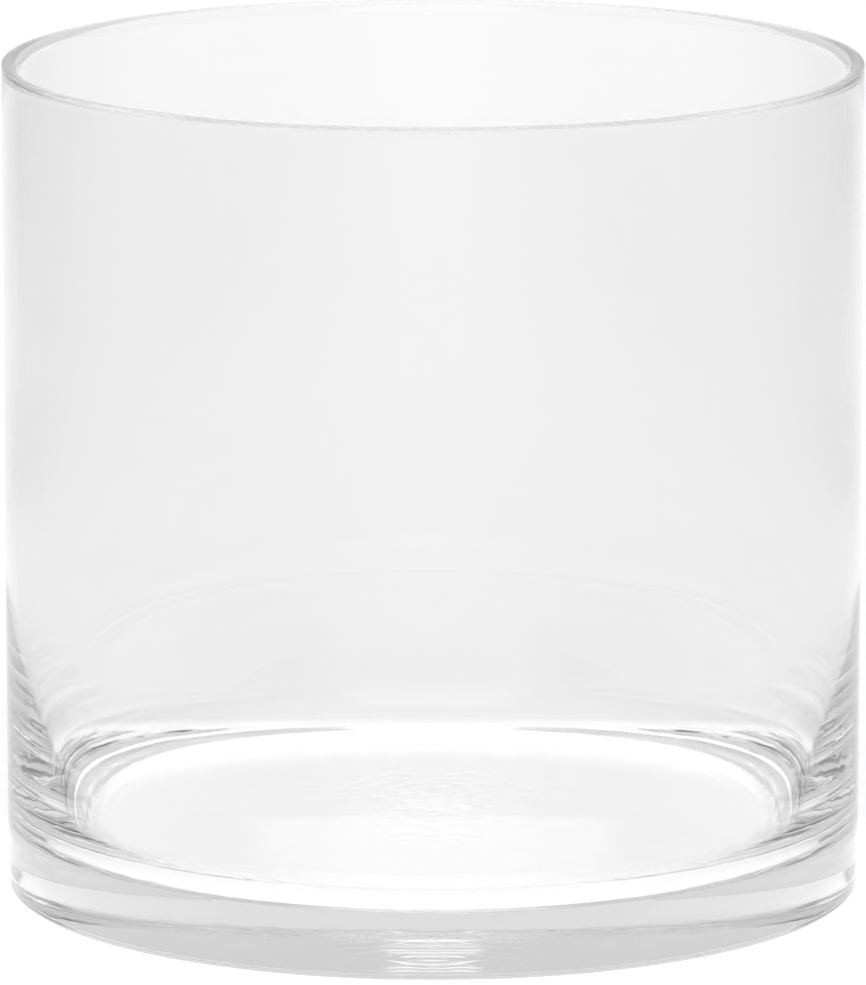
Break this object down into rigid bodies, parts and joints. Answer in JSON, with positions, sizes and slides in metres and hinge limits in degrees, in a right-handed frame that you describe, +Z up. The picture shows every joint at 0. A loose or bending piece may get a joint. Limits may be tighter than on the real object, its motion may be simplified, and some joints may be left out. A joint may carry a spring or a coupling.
{
  "type": "cylinder vase",
  "caption": "Clear glass cylinder vase: a straight, open-topped tube with a thick base, heavy lower wall and rounded fire-polished rim, for cut flowers, candles or fillers.",
  "frame": {"origin": "centre of the foot, on the plane that the vase stands on", "axes": "+Z up along the vase's axis, out of the mouth; X and Y are interchangeable, because the vase is a body of revolution"},
  "size_m": [0.2032, 0.2032, 0.198],
  "materials": {
    "glass": "clear, colourless soda-lime glass, smooth and fire-polished, with a finely ground ring under the foot"
  },
  "bodies": {
    "root": {"glass_vase": "glass"}
  },
  "joints": []
}
